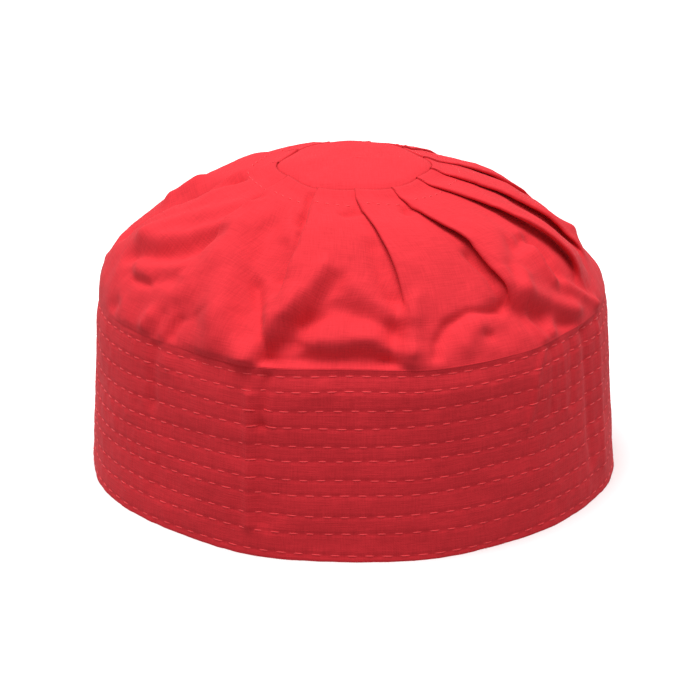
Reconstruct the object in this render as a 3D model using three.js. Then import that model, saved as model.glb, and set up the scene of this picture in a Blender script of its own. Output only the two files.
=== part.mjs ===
// A pleated cotton kufi cap: a stitched upright band, a crown laid in knife pleats, and a small round tip.
// Millimetres, +Z up. The hem of the band rests on z = 0, the axis of the cap is the Z axis, and the
// front is -Y. Angles are in degrees from the front, positive towards +X.
import * as THREE from 'three';

// Driving dimensions
const hemRadius = 92;          // outside of the band at its hem
const bandTopRadius = 88;      // outside of the band at its top edge
const bandHeight = 63;
const bandWall = 3;            // layers of cotton stitched together
const edgeRound = 0.8;         // rolled edges of the band
const bandWave = 2.4;          // how far the band stands off a true circle
const crownRise = 42.5;        // from the top edge of the band to the seam of the tip
const crownWall = 1.5;
const seamTuck = 9;            // crown cloth sewn down inside the band
const pleatLift = 3.2;         // the deepest pleat above the cloth that it covers
const pleatLap = 5;            // how far that pleat lies over its neighbour
const lapGap = 0.5;            // air under the fold of a pleat
const foldNose = 1.1;          // how far the rounded fold stands out past its own line
const panelPuff = 1.6;         // fullness of the cloth between two folds
const softDepth = 3.4;         // deepest soft dent or fullest bulge of the crown
const seamPuff = 1.2;          // fullness of the crown just above the band
const tipRadius = 25;
const tipCorner = 0.9;         // corners of the rounded tip, above and below its mean radius
const tipDome = 2.5;
const tipTilt = 3.8;           // degrees, the tip leans towards the front
const tipWall = 1.5;
const tipTuck = 5;             // edge of the tip turned out under the pleats
const tuckWall = 1.2;
const clearance = 0.3;         // between one piece and the next

// Shares of the way down the crown, from the tip's seam at 0 to the band's top edge at 1
const foldsOpen = 0.06;        // the pleats are sewn flat at the tip and full from here
const foldsFade = 0.35;        // a pleat starts to fade at this share of its own reach
const cornersEnd = 0.3;        // the tip's corners no longer show below this
const tiltEnd = 0.5;           // the lean of the tip no longer shows below this
const seamPuffAt = 0.94;
const seamPuffLong = 0.05;
const softEnd = 0.9;           // soft dents die out from here to the band

// The tip is a circle drawn out to soft corners, one for each two pleats
const tipCorners = 6;
const tipCornerAt = 32;        // degrees from the front

// Smoothness of the solids
const bandPoints = 84;
const bandRows = [0.25, 0.5, 0.75];
const crownRows = 18;
const insideRows = 12;
const insidePointsPerPleat = 5;
const panelPointsPerPleat = 7;
const tipPoints = 48;
const tipRows = [0.3, 0.55, 0.8];
const roundShare = 0.3;        // the middle of a rolled edge, as a share of edgeRound
const panelFall = 1.5;         // how steeply a pleat's top falls away from its fold

// Where the crown's side lies, from the band up to the tip. rise is a share of crownRise, left and right
// are shares of the way out from the tip's radius to the band's, at the wearer's two sides.
const crownSections = [
  { rise: 0.00, left: 1.00, right: 1.00 },
  { rise: 0.10, left: 0.99, right: 0.97 },
  { rise: 0.25, left: 0.96, right: 0.91 },
  { rise: 0.40, left: 0.90, right: 0.83 },
  { rise: 0.55, left: 0.76, right: 0.70 },
  { rise: 0.68, left: 0.58, right: 0.56 },
  { rise: 0.80, left: 0.45, right: 0.43 },
  { rise: 0.90, left: 0.33, right: 0.27 },
  { rise: 0.96, left: 0.19, right: 0.13 },
  { rise: 1.00, left: 0.00, right: 0.00 },
];

// One row for each knife pleat. at is its fold at the tip, sway how far the fold has turned where it
// fades out, lift a share of pleatLift, and reach the share of the way down to the band where it ends.
const pleats = [
  { at: -97, sway: 8, lift: 0.65, reach: 0.62 },
  { at: -62, sway: 14, lift: 0.75, reach: 0.88 },
  { at: -29, sway: 12, lift: 0.55, reach: 0.66 },
  { at: 0, sway: 13, lift: 0.70, reach: 0.78 },
  { at: 28, sway: 14, lift: 1.00, reach: 0.88 },
  { at: 57, sway: 4, lift: 1.00, reach: 0.80 },
  { at: 83, sway: 1, lift: 0.80, reach: 0.76 },
  { at: 110, sway: 4, lift: 0.70, reach: 0.70 },
  { at: 139, sway: 6, lift: 0.75, reach: 0.74 },
  { at: 169, sway: 8, lift: 0.65, reach: 0.68 },
  { at: 199, sway: 8, lift: 0.70, reach: 0.76 },
  { at: 230, sway: 8, lift: 0.65, reach: 0.70 },
];

// The cloth of one fold, from the cloth that it covers to its own top. along is in shares of pleatLap
// and nose in shares of foldNose, from the fold's line. gap and top are shares of lapGap and of the lift.
const foldSection = [
  { part: 'covered cloth at the root', along: 1, nose: 0, gap: 0, top: 0 },
  { part: 'underside at the root', along: 1, nose: 0, gap: 1, top: 0 },
  { part: 'underside at the nose', along: 0, nose: -0.6, gap: 1, top: 0 },
  { part: 'front of the nose', along: 0, nose: -1, gap: 0.5, top: 0.5 },
  { part: 'top of the nose', along: 0, nose: 0.4, gap: 0, top: 1 },
];

// Soft dents and bulges of the crown. at is an angle, down a share of the way from the tip to the band,
// wide an angle, long a share, lean degrees of turn per share down, and push a share of softDepth.
const softForms = [
  { name: 'long valley at the left front', at: -58, down: 0.60, wide: 7, long: 0.22, lean: 40, push: -0.6 },
  { name: 'pocket at the left', at: -58, down: 0.77, wide: 8, long: 0.07, lean: 0, push: -0.7 },
  { name: 'fold at the left seam', at: -44, down: 0.90, wide: 3.5, long: 0.10, lean: -15, push: -0.8 },
  { name: 'slanting valley', at: -12, down: 0.78, wide: 5, long: 0.16, lean: -41, push: -0.9 },
  { name: 'crease above the band seam', at: -23, down: 0.84, wide: 3, long: 0.14, lean: 12, push: -0.6 },
  { name: 'bulge at the left seam', at: -33, down: 0.93, wide: 7, long: 0.08, lean: 0, push: 0.5 },
  { name: 'level valley at the front', at: 2, down: 0.93, wide: 13, long: 0.03, lean: 0, push: -0.5 },
  { name: 'bulge over the front', at: 4, down: 0.82, wide: 9, long: 0.08, lean: 0, push: 0.5 },
  { name: 'dent beside the front', at: 16, down: 0.95, wide: 4, long: 0.05, lean: 0, push: -0.5 },
  { name: 'bulge at the right front', at: 26, down: 0.90, wide: 6, long: 0.08, lean: 0, push: 0.5 },
  { name: 'pocket at the right', at: 44, down: 0.78, wide: 5, long: 0.08, lean: 30, push: -0.7 },
  { name: 'hollow under the right pocket', at: 60, down: 0.93, wide: 8, long: 0.06, lean: 0, push: -0.5 },
  { name: 'ridge at the right', at: 60, down: 0.80, wide: 5, long: 0.10, lean: 60, push: 0.4 },
  { name: 'valley at the right side', at: 100, down: 0.80, wide: 8, long: 0.14, lean: 20, push: -0.5 },
  { name: 'bulge at the back right', at: 128, down: 0.84, wide: 9, long: 0.12, lean: 0, push: 0.4 },
  { name: 'valley at the back', at: 160, down: 0.80, wide: 7, long: 0.16, lean: -30, push: -0.6 },
  { name: 'bulge at the back left', at: 188, down: 0.86, wide: 9, long: 0.10, lean: 0, push: 0.4 },
  { name: 'valley at the back left', at: 222, down: 0.82, wide: 7, long: 0.15, lean: 20, push: -0.5 },
  { name: 'bulge at the left side', at: 262, down: 0.85, wide: 9, long: 0.12, lean: 0, push: 0.4 },
];

// How the upright band departs from a circle: soft corners and flats. top and hem are shares of bandWave.
const bandWaves = [
  { at: -71, top: 0.0, hem: 0.0 },
  { at: -41, top: -0.3, hem: -0.4 },
  { at: -20, top: 1.0, hem: 0.5 },
  { at: -2, top: -0.3, hem: 0.2 },
  { at: 17, top: 1.0, hem: 0.5 },
  { at: 37, top: 0.5, hem: 0.0 },
  { at: 54, top: -0.5, hem: 0.0 },
  { at: 75, top: 0.0, hem: 0.2 },
  { at: 110, top: 0.4, hem: 0.0 },
  { at: 145, top: -0.3, hem: 0.1 },
  { at: 182, top: 0.3, hem: 0.3 },
  { at: 225, top: -0.2, hem: 0.1 },
  { at: 262, top: 0.2, hem: 0.2 },
];

const radians = THREE.MathUtils.degToRad;
const degrees = THREE.MathUtils.radToDeg;
const mix = THREE.MathUtils.lerp;
const smooth = THREE.MathUtils.smoothstep;

// Angles as they lie round the cap, and the shorter way from one to another.
function turnBetween(from, to) {
  return THREE.MathUtils.euclideanModulo(to - from + 180, 360) - 180;
}

function onCircle(angle, radius, z) {
  return new THREE.Vector3(radius * Math.sin(radians(angle)), -radius * Math.cos(radians(angle)), z);
}

// A closed skin: every ring of points is joined to the next, and the last to the first unless both
// ends close on a single point.
function skin(rings) {
  const positions = rings.flat().flatMap((point) => point.toArray());
  const starts = [];
  let count = 0;
  for (const ring of rings) {
    starts.push(count);
    count += ring.length;
  }
  const indices = [];
  const endsOnPoints = rings[0].length === 1;
  const seams = endsOnPoints ? rings.length - 1 : rings.length;
  for (let i = 0; i < seams; i += 1) {
    const next = (i + 1) % rings.length;
    joinRings(indices, starts[i], rings[i].length, starts[next], rings[next].length);
  }
  const geometry = new THREE.BufferGeometry();
  geometry.setAttribute('position', new THREE.Float32BufferAttribute(positions, 3));
  geometry.setIndex(indices);
  geometry.computeVertexNormals();
  return geometry;
}

// Triangles between two rings, stepping along whichever ring is behind.
function joinRings(indices, startA, countA, startB, countB) {
  const stepsA = countA > 1 ? countA : 0;
  const stepsB = countB > 1 ? countB : 0;
  let a = 0;
  let b = 0;
  while (a < stepsA || b < stepsB) {
    const here = startA + (a % countA);
    const there = startB + (b % countB);
    const stepA = b >= stepsB || (a < stepsA && (a + 0.5) / stepsA <= (b + 0.5) / stepsB);
    if (stepA) {
      indices.push(here, startA + ((a + 1) % countA), there);
      a += 1;
    } else {
      indices.push(here, startB + ((b + 1) % countB), there);
      b += 1;
    }
  }
}

// Band

function bandWaveAt(angle, height) {
  let before = bandWaves.length - 1;
  for (let i = 0; i < bandWaves.length; i += 1) {
    const span = THREE.MathUtils.euclideanModulo(angle - bandWaves[i].at, 360);
    const nearest = THREE.MathUtils.euclideanModulo(angle - bandWaves[before].at, 360);
    if (span < nearest) before = i;
  }
  const a = bandWaves[before];
  const b = bandWaves[(before + 1) % bandWaves.length];
  const gone = THREE.MathUtils.euclideanModulo(angle - a.at, 360);
  const whole = THREE.MathUtils.euclideanModulo(b.at - a.at, 360);
  const share = smooth(gone / whole, 0, 1);
  const up = height / bandHeight;
  return bandWave * mix(mix(a.hem, a.top, up), mix(b.hem, b.top, up), share);
}

function bandRadiusAt(angle, height) {
  return mix(hemRadius, bandTopRadius, height / bandHeight) + bandWaveAt(angle, height);
}

function bandRing(height, inward) {
  const ring = [];
  for (let i = 0; i < bandPoints; i += 1) {
    const angle = (360 * i) / bandPoints;
    ring.push(onCircle(angle, bandRadiusAt(angle, height) - inward, height));
  }
  return ring;
}

function makeBand() {
  const top = bandHeight;
  const middles = bandRows.map((share) => share * bandHeight);
  const inner = bandWall;
  return skin([
    bandRing(0, edgeRound),
    bandRing(roundShare * edgeRound, roundShare * edgeRound),
    bandRing(edgeRound, 0),
    ...middles.map((height) => bandRing(height, 0)),
    bandRing(top - edgeRound, 0),
    bandRing(top - roundShare * edgeRound, roundShare * edgeRound),
    bandRing(top, edgeRound),
    bandRing(top, inner - edgeRound),
    bandRing(top - edgeRound, inner),
    ...middles.toReversed().map((height) => bandRing(height, inner)),
    bandRing(edgeRound, inner),
    bandRing(0, inner - edgeRound),
  ]);
}

// Crown

function sideCurve(side) {
  return new THREE.SplineCurve(crownSections.toReversed().map((section) => new THREE.Vector2(
    mix(tipRadius, bandTopRadius, section[side]),
    bandHeight + crownRise * section.rise,
  )));
}

const leftSide = sideCurve('left');
const rightSide = sideCurve('right');
const slopeLength = (leftSide.getLength() + rightSide.getLength()) / 2;

function tipOutlineAt(angle) {
  return tipCorner * Math.cos(radians(tipCorners * (angle - tipCornerAt)));
}

function leanAt(point, down) {
  return Math.tan(radians(tipTilt)) * point.y * (1 - smooth(down, 0, tiltEnd));
}

function softFormAt(angle, down) {
  let push = 0;
  for (const form of softForms) {
    const turn = turnBetween(form.at + form.lean * (down - form.down), angle) / form.wide;
    const drop = (down - form.down) / form.long;
    push += form.push * Math.exp(-turn * turn - drop * drop);
  }
  const drop = (down - seamPuffAt) / seamPuffLong;
  return softDepth * push * (1 - smooth(down, softEnd, 1)) + seamPuff * Math.exp(-drop * drop);
}

// A point of the crown's cloth. down runs from the tip's seam at 0 to the band's top edge at 1, and out
// is measured square to the cloth.
function clothPoint(angle, down, out) {
  const share = (1 + Math.sin(radians(angle))) / 2;
  const place = leftSide.getPointAt(down).lerp(rightSide.getPointAt(down), share);
  const slope = leftSide.getTangentAt(down).lerp(rightSide.getTangentAt(down), share).normalize();
  const stand = out + softFormAt(angle, down);
  const cornered = tipOutlineAt(angle) * (1 - smooth(down, 0, cornersEnd));
  const waved = bandWaveAt(angle, bandHeight) * smooth(down, tiltEnd, 1);
  const radius = place.x + cornered + waved - slope.y * stand;
  const point = onCircle(angle, radius, place.y + slope.x * stand);
  point.z += leanAt(point, down);
  return point;
}

function foldAngle(index, down) {
  const pleat = pleats[index % pleats.length];
  const wholeTurns = Math.floor(index / pleats.length);
  return pleat.at + pleat.sway * smooth(down, 0, pleat.reach) + 360 * wholeTurns;
}

// How strongly a pleat is folded here: sewn flat at the tip, then full, then fading into the crown.
function foldStrength(index, down) {
  const pleat = pleats[index % pleats.length];
  return smooth(down, 0, foldsOpen) * (1 - smooth(down, foldsFade * pleat.reach, pleat.reach));
}

function crownRing(down) {
  const ring = [];
  const perPleat = foldSection.length + panelPointsPerPleat;
  for (let i = 0; i < pleats.length; i += 1) {
    const start = foldAngle(i, down);
    const width = foldAngle(i + 1, down) - start;
    const folded = foldStrength(i, down);
    const lift = pleatLift * pleats[i].lift * folded;
    const around = clothPoint(start, down, 0);
    const degreesPerMillimetre = degrees(1 / Math.hypot(around.x, around.y));
    const lap = pleatLap * pleats[i].lift;
    for (let j = 0; j < perPleat; j += 1) {
      const flatAngle = start + (width * j) / perPleat;
      if (j < foldSection.length) {
        const row = foldSection[j];
        const foldedAngle = start + (row.along * lap + row.nose * foldNose) * degreesPerMillimetre;
        const out = row.gap * lapGap * folded + row.top * lift;
        ring.push(clothPoint(mix(flatAngle, foldedAngle, folded), down, out));
      } else {
        const share = (j - foldSection.length + 1) / (panelPointsPerPleat + 1);
        const foldedAngle = start + width * share;
        const slope = lift * (1 - share) ** panelFall;
        const puff = panelPuff * folded * Math.sin(Math.PI * share);
        ring.push(clothPoint(mix(flatAngle, foldedAngle, folded), down, slope + puff));
      }
    }
  }
  return ring;
}

function insideRing(down) {
  const ring = [];
  for (let i = 0; i < pleats.length; i += 1) {
    const start = foldAngle(i, down);
    const width = foldAngle(i + 1, down) - start;
    for (let j = 0; j < insidePointsPerPleat; j += 1) {
      ring.push(clothPoint(start + (width * j) / insidePointsPerPleat, down, -crownWall));
    }
  }
  return ring;
}

// The crown's lower edge stands down inside the band, clear of it.
function tuckRing(height, inward, points) {
  const ring = [];
  for (let i = 0; i < pleats.length; i += 1) {
    const start = foldAngle(i, 1);
    const width = foldAngle(i + 1, 1) - start;
    for (let j = 0; j < points; j += 1) {
      const angle = start + (width * j) / points;
      ring.push(onCircle(angle, bandRadiusAt(angle, Math.min(height, bandHeight)) - inward, height));
    }
  }
  return ring;
}

function makeCrown() {
  const rows = [];
  const perPleat = foldSection.length + panelPointsPerPleat;
  const inside = bandWall + clearance;
  const seat = bandHeight + clearance;
  rows.push(tuckRing(bandHeight - seamTuck, inside, perPleat));
  rows.push(tuckRing(seat, inside, perPleat));
  rows.push(tuckRing(seat, edgeRound, perPleat));
  for (let i = 1; i <= crownRows; i += 1) rows.push(crownRing(1 - i / crownRows));
  for (let i = 0; i < insideRows; i += 1) rows.push(insideRing(i / insideRows));
  rows.push(tuckRing(seat, inside + crownWall, insidePointsPerPleat));
  rows.push(tuckRing(bandHeight - seamTuck, inside + crownWall, insidePointsPerPleat));
  return skin(rows);
}

// Tip

function tipRing(share, below) {
  const ring = [];
  for (let i = 0; i < tipPoints; i += 1) {
    const angle = (360 * i) / tipPoints;
    const seam = clothPoint(angle, 0, 0);
    const point = seam.clone();
    const edge = Math.hypot(seam.x, seam.y);
    point.multiplyScalar((share * edge - clearance * share) / edge);
    point.z = bandHeight + crownRise + tipDome * (1 - share * share) - below;
    point.z += leanAt(point, 0);
    ring.push(point);
  }
  return ring;
}

function turnedEdgeRing(out) {
  const ring = [];
  for (let i = 0; i < tipPoints; i += 1) {
    const angle = (360 * i) / tipPoints;
    ring.push(clothPoint(angle, tipTuck / slopeLength, out));
  }
  return ring;
}

function makeTip() {
  const under = crownWall + clearance;
  const centreTop = new THREE.Vector3(0, 0, bandHeight + crownRise + tipDome);
  const centreUnder = centreTop.clone().setZ(centreTop.z - tipWall);
  return skin([
    [centreUnder],
    ...tipRows.map((share) => tipRing(share, tipWall)),
    tipRing(1, under + tuckWall),
    turnedEdgeRing(-under - tuckWall),
    turnedEdgeRing(-under),
    tipRing(1, under),
    tipRing(1, 0),
    ...tipRows.toReversed().map((share) => tipRing(share, 0)),
    [centreTop],
  ]);
}

function cotton(red, green, blue) {
  const color = new THREE.Color().setRGB(red / 255, green / 255, blue / 255, THREE.SRGBColorSpace);
  return new THREE.MeshStandardMaterial({ color, roughness: 0.85, metalness: 0 });
}

function piece(name, geometry, material) {
  const mesh = new THREE.Mesh(geometry, material);
  mesh.name = name;
  return mesh;
}

const cap = new THREE.Group();
cap.add(piece('band', makeBand(), cotton(178, 30, 40)));
cap.add(piece('crown', makeCrown(), cotton(200, 34, 46)));
cap.add(piece('tip', makeTip(), cotton(205, 36, 48)));

export default cap;
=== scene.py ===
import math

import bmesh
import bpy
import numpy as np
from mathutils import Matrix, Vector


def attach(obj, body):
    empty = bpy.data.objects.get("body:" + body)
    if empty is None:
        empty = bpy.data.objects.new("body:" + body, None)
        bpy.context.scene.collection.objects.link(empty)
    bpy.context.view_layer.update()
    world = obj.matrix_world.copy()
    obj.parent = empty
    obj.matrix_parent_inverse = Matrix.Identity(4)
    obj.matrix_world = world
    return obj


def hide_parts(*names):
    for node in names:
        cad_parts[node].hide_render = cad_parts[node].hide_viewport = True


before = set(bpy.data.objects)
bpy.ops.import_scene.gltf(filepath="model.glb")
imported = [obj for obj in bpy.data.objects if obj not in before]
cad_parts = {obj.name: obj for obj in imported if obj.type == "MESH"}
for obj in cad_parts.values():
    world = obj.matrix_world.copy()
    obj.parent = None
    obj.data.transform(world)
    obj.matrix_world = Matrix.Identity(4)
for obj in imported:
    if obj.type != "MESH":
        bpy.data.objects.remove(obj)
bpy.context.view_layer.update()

# %% [markdown]
# # A pleated cotton kufi cap
#
# The cap is sewn from three cut pieces of cloth: an upright band stitched round with eleven rows, a crown
# laid in twelve knife pleats, and a small round tip. Each is made here as real cloth, with its stitches,
# and takes the place of the plain solid of the same name.
#
# Lengths are in millimetres until a mesh is written, and angles are in degrees from the front (-Y),
# positive towards +X.

# %% [markdown]
# ## The shape of the cap
#
# The named sizes are nearly those of the solids, so that the cloth lies where they lie. The side of the
# crown is one curve at the left and another at the right, because the cap stands a little higher on one side.

# %% Sizes
HEM_RADIUS = 92.0
BAND_TOP_RADIUS = 88.0
BAND_HEIGHT = 63.0
BAND_WALL = 3.0
BAND_WAVE = 2.4
MEAN_RADIUS = (HEM_RADIUS + BAND_TOP_RADIUS) / 2
CROWN_RISE = 42.5
TIP_RADIUS = 25.8
TIP_CORNER = 0.9
TIP_DOME = 2.5
TIP_TILT = 3.8
CLOTH = 0.45

# rise is a share of CROWN_RISE, left and right are shares of the way out from the tip to the band
SECTIONS = [
    (0.00, 1.00, 1.00),
    (0.10, 0.99, 0.97),
    (0.25, 0.96, 0.91),
    (0.40, 0.90, 0.83),
    (0.55, 0.76, 0.70),
    (0.68, 0.58, 0.56),
    (0.80, 0.45, 0.43),
    (0.90, 0.33, 0.27),
    (0.96, 0.19, 0.13),
    (1.00, 0.00, 0.00),
]


# %% [markdown]
# ## Helpers for soft shapes
#
# Cloth has no hard corners, so nearly every change of shape here is eased in and out. A mesh pushed about by
# hand would give such shapes too, but nobody could read or change it later. So each soft shape is a short
# sum of eased steps, and the smallest unevenness is smooth noise with a fixed seed.

# %% Small helpers
def smooth(value, low, high):
    share = np.clip((value - low) / (high - low), 0.0, 1.0)
    return share * share * (3.0 - 2.0 * share)


def mix(first, second, share):
    return first + (second - first) * share


def turn(from_angle, to_angle):
    return (to_angle - from_angle + 180.0) % 360.0 - 180.0


def on_circle(angle, radius, z):
    return np.stack([radius * np.sin(np.radians(angle)), -radius * np.cos(np.radians(angle)),
                     np.broadcast_to(z, np.shape(radius))], axis=-1)


def soft_noise(around, up, cells_around, cells_up, seed):
    """Smooth random values from -1 to 1 that meet all round the cap. around and up run from 0 to 1."""
    lattice = np.random.default_rng(seed).uniform(-1.0, 1.0, (cells_up + 2, cells_around))
    across = (around % 1.0) * cells_around
    along = np.clip(up, 0.0, 1.0) * cells_up
    column = np.floor(across).astype(int) % cells_around
    row = np.floor(along).astype(int)
    right = smooth(across - np.floor(across), 0.0, 1.0)
    above = smooth(along - row, 0.0, 1.0)
    beside = (column + 1) % cells_around
    low = mix(lattice[row, column], lattice[row, beside], right)
    high = mix(lattice[row + 1, column], lattice[row + 1, beside], right)
    return mix(low, high, above)


print("halfway through an eased step", smooth(0.5, 0.0, 1.0))

# %% [markdown]
# ## The side of the crown
#
# From the front, the crown rises from the band, rolls over a soft shoulder and runs in to the tip. A smooth
# curve through the places of the table gives that line. It is measured off evenly, so that a place halfway
# down the crown is halfway along its cloth.

# %% Side curves
CURVE_POINTS = 401


def side_curve(column):
    """Points along one side of the crown, evenly spaced from the tip to the band."""
    rows = SECTIONS[::-1]
    knots = np.array([(mix(TIP_RADIUS, BAND_TOP_RADIUS, row[column]), BAND_HEIGHT + CROWN_RISE * row[0])
                      for row in rows])
    points = []
    for index in range(len(knots) - 1):
        before = knots[max(index - 1, 0)]
        start = knots[index]
        end = knots[index + 1]
        after = knots[min(index + 2, len(knots) - 1)]
        t = np.linspace(0.0, 1.0, 60, endpoint=False)[:, None]
        leave = (end - before) / 2
        arrive = (after - start) / 2
        cubic = 2 * start - 2 * end + leave + arrive
        square = -3 * start + 3 * end - 2 * leave - arrive
        points.append(cubic * t ** 3 + square * t ** 2 + leave * t + start)
    points.append(knots[-1:])
    points = np.concatenate(points)
    steps = np.hypot(*np.diff(points, axis=0).T)
    length = np.concatenate([[0.0], np.cumsum(steps)])
    even = np.linspace(0.0, length[-1], CURVE_POINTS)
    curve = np.stack([np.interp(even, length, points[:, 0]), np.interp(even, length, points[:, 1])], axis=-1)
    return curve, length[-1]


LEFT_CURVE, left_length = side_curve(1)
RIGHT_CURVE, right_length = side_curve(2)
SLOPE = (left_length + right_length) / 2
print("slope of the crown", round(SLOPE, 1), "mm")


def along_curve(curve, down):
    at = np.linspace(0.0, 1.0, len(curve))
    radius = np.interp(down, at, curve[:, 0])
    z = np.interp(down, at, curve[:, 1])
    tangent = np.gradient(curve, axis=0)
    return radius, z, np.interp(down, at, tangent[:, 0]), np.interp(down, at, tangent[:, 1])


def side_of(angle):
    return (1.0 + np.sin(np.radians(angle))) / 2.0


def plain_radius(angle, down):
    """Radius of the crown before folds and dents."""
    return mix(along_curve(LEFT_CURVE, down)[0], along_curve(RIGHT_CURVE, down)[0], side_of(angle))


# %% [markdown]
# ## How the band departs from a circle
#
# A stitched band is stiff, but a worn one still has soft corners and flats. They could be separate dents.
# One closed wave round the band is simpler, and its places at the top edge and at the hem are in the table.

# %% Band outline
# at is an angle, top and hem are shares of BAND_WAVE
BAND_WAVES = [
    (-71, 0.35, 0.3),
    (-41, -0.3, -0.4),
    (-20, 1.0, 0.5),
    (-2, -0.3, 0.2),
    (17, 1.0, 0.5),
    (37, 0.5, 0.0),
    (54, -0.5, 0.0),
    (75, -0.4, 0.2),
    (110, 0.4, 0.0),
    (145, -0.3, 0.1),
    (182, 0.3, 0.3),
    (225, -0.2, 0.1),
    (262, 0.6, 0.5),
]


def band_wave(angle, height):
    up = np.clip(height / BAND_HEIGHT, 0.0, 1.0)
    wave = np.zeros(np.broadcast(angle, height).shape)
    for index, (at, top, hem) in enumerate(BAND_WAVES):
        next_at, next_top, next_hem = BAND_WAVES[(index + 1) % len(BAND_WAVES)]
        whole = (next_at - at) % 360
        gone = (angle - at) % 360
        share = smooth(gone / whole, 0.0, 1.0)
        here = mix(mix(hem, top, up), mix(next_hem, next_top, up), share)
        wave = np.where(gone < whole, here, wave)
    return BAND_WAVE * wave


def band_radius(angle, height):
    return mix(HEM_RADIUS, BAND_TOP_RADIUS, height / BAND_HEIGHT) + band_wave(angle, height)


front_radius = float(band_radius(0.0, BAND_HEIGHT))
print(len(BAND_WAVES), "places round the band, radius of its top at the front", round(front_radius, 1), "mm")

# %% [markdown]
# ## Creases, dents and bulges of the crown
#
# Worn cotton keeps soft dents and creases. Each is one stroke: a path over the cloth, how wide it is and
# how far it is pushed out (or in, when it is negative). A path is a list of places, each an angle and how
# far down the crown it lies, from the tip at 0 to the band at 1.

# %% Strokes
# name, path, wide in millimetres, push in millimetres
STROKES = [
    ("left shoulder crest", [(-52, 0.24), (-66, 0.47), (-75, 0.64)], 4.0, 1.6),
    ("shoulder over the left ear", [(-99, 0.38), (-98, 0.50)], 4.5, 3.0),
    ("long shade down the left", [(-82, 0.20), (-86, 0.42), (-88, 0.70)], 4.5, -3.0),
    ("left valley", [(-72, 0.73), (-60, 0.65), (-50, 0.56)], 3.5, -1.0),
    ("bright triangle at the left seam", [(-51, 0.92), (-52, 0.95)], 3.5, 1.8),
    ("spot at the left", [(-66, 0.94), (-67, 0.96)], 3.0, -1.2),
    ("low puff at the left", [(-31, 0.84), (-27, 0.89)], 5.5, 1.4),
    ("upright crease", [(-27, 0.62), (-23, 0.74), (-21, 0.84), (-19, 0.97)], 1.9, -2.1),
    ("beside the upright crease", [(-21, 0.72), (-19, 0.82)], 4.0, 1.0),
    ("bulge right of the valley", [(-7, 0.83), (1, 0.82)], 5.0, 1.1),
    ("notch over the first row", [(-18, 0.93), (-18, 0.97)], 2.2, -1.4),
    ("bright slant", [(2, 0.87), (8, 0.76)], 3.5, 0.7),
    ("arc at the right front", [(37, 0.80), (27, 0.78), (21, 0.82), (18, 0.89), (17, 0.95)], 1.7, -1.5),
    ("inside the arc", [(28, 0.85), (24, 0.90)], 4.5, 2.2),
    ("dimple inside the arc", [(30, 0.89), (31, 0.90)], 2.0, -1.3),
    ("bright spot at the right", [(50, 0.93), (49, 0.95)], 3.0, 1.8),
    ("ridge at the right", [(62, 0.82), (66, 0.89), (71, 0.97)], 2.6, 1.8),
    ("light crease at the right", [(43, 0.81), (44, 0.92), (45, 0.98)], 1.5, 1.0),
    ("crest under the sixth pleat", [(60, 0.52), (58, 0.62), (57, 0.70), (58, 0.77)], 2.4, 1.8),
    ("pocket of the sixth pleat", [(62, 0.56), (62, 0.66), (61, 0.74)], 3.4, -2.2),
    ("pocket beside the fifth pleat", [(58, 0.55), (53, 0.59), (50, 0.65)], 3.0, -2.4),
    ("pocket of the seventh pleat", [(79, 0.42), (80, 0.54), (82, 0.66)], 3.2, -1.0),
    ("pocket of the fifth pleat", [(36, 0.52), (38, 0.62), (39, 0.76)], 2.6, -2.4),
    ("crease of the third pleat", [(-28.5, 0.05), (-23.5, 0.15), (-20, 0.30), (-19, 0.45), (-20, 0.58)],
     1.3, -1.5),
    ("dimple by the first pleat", [(-80, 0.17), (-80, 0.20)], 2.2, -1.8),
    ("dimple by the second pleat", [(-51, 0.19), (-51, 0.22)], 2.2, -1.8),
    ("dimple by the third pleat", [(-23, 0.23), (-22, 0.28)], 2.0, -1.5),
    ("dimple by the fourth pleat", [(1, 0.17), (-4, 0.20)], 1.9, -1.5),
    ("dimple by the fifth pleat", [(26, 0.17), (25, 0.20)], 2.0, -1.6),
    ("left of the third pleat", [(-24, 0.42), (-20, 0.64)], 3.0, -1.5),
    ("left of the fourth pleat", [(6, 0.42), (9, 0.66)], 3.0, -1.5),
    ("valley at the right side", [(96, 0.60), (100, 0.80), (104, 0.92)], 5.0, -2.8),
    ("bulge at the back right", [(126, 0.75), (130, 0.90)], 8.0, 2.2),
    ("dent by the ninth pleat", [(150, 0.60), (158, 0.78), (160, 0.92)], 4.5, -3.0),
    ("crease at the back", [(176, 0.66), (172, 0.82), (170, 0.96)], 2.2, -2.0),
    ("bulge at the back left", [(186, 0.80), (190, 0.92)], 7.0, 2.2),
    ("valley at the back left", [(214, 0.62), (221, 0.78), (226, 0.93)], 4.5, -3.0),
    ("crease by the last pleat", [(243, 0.70), (240, 0.84), (238, 0.96)], 2.2, -1.8),
    ("bulge at the left side", [(250, 0.80), (254, 0.90)], 7.0, 0.8),
]

print(len(STROKES), "strokes on the crown")

# %% [markdown]
# ## Steps in the cloth
#
# Where a puff hangs over the cloth below it, the cloth goes down a steep face. A dent alone would shade both
# of its sides, so a step has its own table. Seen from outside and going along the path, the cloth is high at
# the left hand and low at the right hand.

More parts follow.
